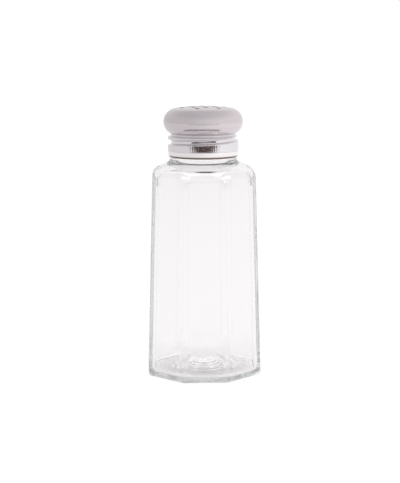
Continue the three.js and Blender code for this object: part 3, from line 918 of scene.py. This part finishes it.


# Studio: a white paper floor that runs on into a white backdrop, large soft lights, and two dark
# cards that only the metal mirrors, which paint dark reflections on it. One stands in front, and
# the other is a strip that lies just above the floor, in an arc round the front of the jar.
floor_size = 6
floor_white = linear("#FAFAFA")
floor_glow = 1.05
far_floor_glow = 1.15
near_floor_level = 1.0
far_floor_level = 1.1
falloff_near = 100 * MM
falloff_far = 700 * MM
glow_share = 0.85
floor_through_glass = 0.93
painted_shadow_level = 0.54
under_foot_near = 10 * MM
under_foot_far = 23 * MM
backdrop_through_glass = 0.98
tint_through_glass = "#FFFBFD"
through_front_level = 0.78
through_sides_level = 0.5
tent_left = 0.72
tent_right = 0.96
front_level = 0.98
front_from = -0.7
front_to = 0.5
sides_from = 0.5
sides_to = 0.95
ceiling_level = 0.82
ceiling_from = 0.4
ceiling_to = 0.95
diffuse_level = 0.55
card_away = 200 * MM
card_half_width = 192 * MM
card_low = 68.5 * MM
card_high = 77.5 * MM
strip_rise = 1 * MM
strip_left = radians(-75)
strip_right = radians(60)
strip_steps = 24
strip_near = 75 * MM
strip_far = 97 * MM


def surroundings(tree, direction):
    """How bright the metal sees the room in a direction: dimmer to the left and in front."""
    way = add(tree, "ShaderNodeSeparateXYZ", {0: direction}).outputs
    ranges = [(way[0], -1.0, 1.0, tent_left, tent_right)]
    ranges += [(way[1], front_from, front_to, front_level, 1.0)]
    levels = []
    for value, low, high, first, last in ranges:
        inputs = {"Value": value, "From Min": low, "From Max": high, "To Min": first, "To Max": last}
        levels.append(add(tree, "ShaderNodeMapRange", inputs, interpolation_type="SMOOTHSTEP"))
    return add(tree, "ShaderNodeMath", {0: levels[0], 1: levels[1]}, operation="MULTIPLY")


# Smooth white paper, which keeps a soft shadow under the jar. Its glow depends on how it is seen:
# by the camera, in the metal, or through the glass, where a painted shadow dims it under the foot.
paper, nodes, output = new_material("white_paper_floor")
lit = add(nodes, "ShaderNodeBsdfDiffuse", {"Color": floor_white})
path = add(nodes, "ShaderNodeLightPath").outputs
spot = add(nodes, "ShaderNodeTexCoord").outputs["Object"]
away = add(nodes, "ShaderNodeVectorMath", {0: spot}, operation="LENGTH").outputs["Value"]
falloff = add(
    nodes,
    "ShaderNodeMapRange",
    {
        "Value": away,
        "From Min": falloff_near,
        "From Max": falloff_far,
        "To Min": near_floor_level,
        "To Max": far_floor_level,
    },
)
# Through the glass, a painted shadow dims the paper's glow under the foot
painted_foot_shadow = add(
    nodes,
    "ShaderNodeMapRange",
    {
        "Value": away,
        "From Min": under_foot_near,
        "From Max": under_foot_far,
        "To Min": painted_shadow_level,
        "To Max": floor_through_glass,
    },
    interpolation_type="SMOOTHSTEP",
)
direction = add(nodes, "ShaderNodeVectorMath", {0: spot}, operation="NORMALIZE")
falloff = add(
    nodes, "ShaderNodeMath", {0: falloff, 1: surroundings(nodes, direction)}, operation="MULTIPLY"
)
glow_level = add(
    nodes, "ShaderNodeMix", {0: path["Is Transmission Ray"], 2: falloff.outputs[0], 3: painted_foot_shadow.outputs[0]}
)
shown = add(
    nodes,
    "ShaderNodeMapRange",
    {
        "Value": away,
        "From Min": falloff_near,
        "From Max": falloff_far,
        "To Min": floor_glow,
        "To Max": far_floor_glow,
    },
)
glow_level = add(
    nodes, "ShaderNodeMix", {0: path["Is Camera Ray"], 2: glow_level.outputs[0], 3: shown.outputs[0]}
)
glow_tint = add(
    nodes,
    "ShaderNodeMix",
    {0: path["Is Transmission Ray"], 6: linear("#FFFFFF"), 7: linear(tint_through_glass)},
    data_type="RGBA",
)
glow = add(
    nodes, "ShaderNodeEmission", {"Color": glow_tint.outputs[2], "Strength": glow_level.outputs[0]}
)
seen = path["Is Camera Ray"]
for ray in ("Is Glossy Ray", "Is Transmission Ray"):
    seen = add(nodes, "ShaderNodeMath", {0: seen, 1: path[ray]}, operation="MAXIMUM")
share = add(nodes, "ShaderNodeMath", {0: seen, 1: glow_share}, operation="MULTIPLY")
mixed = add(nodes, "ShaderNodeMixShader", {0: share, 1: lit, 2: glow})
nodes.links.new(mixed.outputs[0], output.inputs["Surface"])
half_floor = floor_size / 2
corners = [(-half_floor, -half_floor, 0), (half_floor, -half_floor, 0)]
corners += [(half_floor, half_floor, 0), (-half_floor, half_floor, 0)]
floor = new_piece("floor", corners, [(0, 1, 2, 3)])
floor.location.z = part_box("glass_jar")[0][2]
floor.data.materials.append(paper)

# The white backdrop, which is the world: full white for the camera, and dimmer in the metal and
# through the glass
world = bpy.data.worlds.new("studio")
bpy.context.scene.world = world
world.use_nodes = True
sky = world.node_tree
sky.nodes.clear()
path = add(sky, "ShaderNodeLightPath").outputs
direction = add(sky, "ShaderNodeTexCoord").outputs["Generated"]
way = add(sky, "ShaderNodeSeparateXYZ", {0: direction}).outputs
ceiling = add(
    sky,
    "ShaderNodeMapRange",
    {
        "Value": way[2],
        "From Min": ceiling_from,
        "From Max": ceiling_to,
        "To Min": 1.0,
        "To Max": ceiling_level,
    },
    interpolation_type="SMOOTHSTEP",
)
reflected = add(
    sky, "ShaderNodeMath", {0: ceiling, 1: surroundings(sky, direction)}, operation="MULTIPLY"
)
front = add(
    sky,
    "ShaderNodeMapRange",
    {
        "Value": way[1],
        "From Min": front_from,
        "From Max": front_to,
        "To Min": through_front_level,
        "To Max": 1.0,
    },
)
sideways = add(sky, "ShaderNodeMath", {0: way[0]}, operation="ABSOLUTE")
sides = add(
    sky,
    "ShaderNodeMapRange",
    {
        "Value": sideways,
        "From Min": sides_from,
        "From Max": sides_to,
        "To Min": 1.0,
        "To Max": through_sides_level,
    },
    interpolation_type="SMOOTHSTEP",
)
through = ceiling
for factor in (front, sides, backdrop_through_glass):
    through = add(sky, "ShaderNodeMath", {0: through, 1: factor}, operation="MULTIPLY")
strength = add(
    sky, "ShaderNodeMix", {0: path["Is Transmission Ray"], 2: reflected, 3: through}
)
strength = add(sky, "ShaderNodeMix", {0: path["Is Camera Ray"], 2: strength.outputs[0], 3: 1.0})
strength = add(
    sky, "ShaderNodeMix", {0: path["Is Diffuse Ray"], 2: strength.outputs[0], 3: diffuse_level}
)
tint = add(
    sky,
    "ShaderNodeMix",
    {0: path["Is Transmission Ray"], 6: linear("#FFFFFF"), 7: linear(tint_through_glass)},
    data_type="RGBA",
)
light = add(sky, "ShaderNodeBackground", {"Color": tint.outputs[2], "Strength": strength.outputs[0]})
add(sky, "ShaderNodeOutputWorld", {"Surface": light})

# Large soft lights: name, place in metres, width in metres and power in watts
lamps = [
    ("soft_light_left", (-0.7, -0.5, 0.8), 0.6, 4),
    ("soft_light_right", (0.8, -0.4, 0.7), 0.6, 6),
    ("soft_light_above", (0, 0.1, 1.1), 0.9, 6),
]
for name, spot_at, width, power in lamps:
    lamp = bpy.data.lights.new(name, "AREA")
    lamp.size = width
    lamp.energy = power
    light = bpy.data.objects.new(name, lamp)
    bpy.context.scene.collection.objects.link(light)
    light.location = spot_at
    to_cap = Vector((0, 0, dome_widest)) - light.location
    light.rotation_euler = to_cap.to_track_quat("-Z", "Y").to_euler()
    light.visible_glossy = False

# The two dark cards, one flat tone all over, are painted reflections: only the metal shows them.
# They cast no light or shadow, and neither the camera nor the glass shows them.
reflection_card_material, nodes, output = new_material("painted_reflection_card_tone")
reflection_card_emission = add(nodes, "ShaderNodeEmission", {"Color": linear("#34180B"), "Strength": 1.0})
nodes.links.new(reflection_card_emission.outputs[0], output.inputs["Surface"])
corners = [(-card_half_width, -card_away, card_low), (card_half_width, -card_away, card_low)]
corners += [(card_half_width, -card_away, card_high), (-card_half_width, -card_away, card_high)]
quads = [(0, 3, 2, 1)]
for i in range(strip_steps + 1):
    turn = strip_left + (strip_right - strip_left) * i / strip_steps
    for reach in (strip_near, strip_far):
        corners.append((reach * sin(turn), -reach * cos(turn), strip_rise))
    if i:
        low = len(corners) - 4
        quads.append((low, low + 1, low + 3, low + 2))
# Dark sheets whose only part is the painted reflections in the metal
table_edge = new_piece("table_edge", corners, quads)
table_edge.data.materials.append(reflection_card_material)
table_edge.visible_camera = False
table_edge.visible_transmission = False
table_edge.visible_diffuse = False
table_edge.visible_shadow = False

# Light inside thick glass is reflected many times before it comes out
glass_bounces = 40
cycles = bpy.context.scene.cycles
cycles.max_bounces = glass_bounces
cycles.transmission_bounces = glass_bounces
cycles.glossy_bounces = glass_bounces

bpy.context.scene.view_settings.view_transform = "Standard"
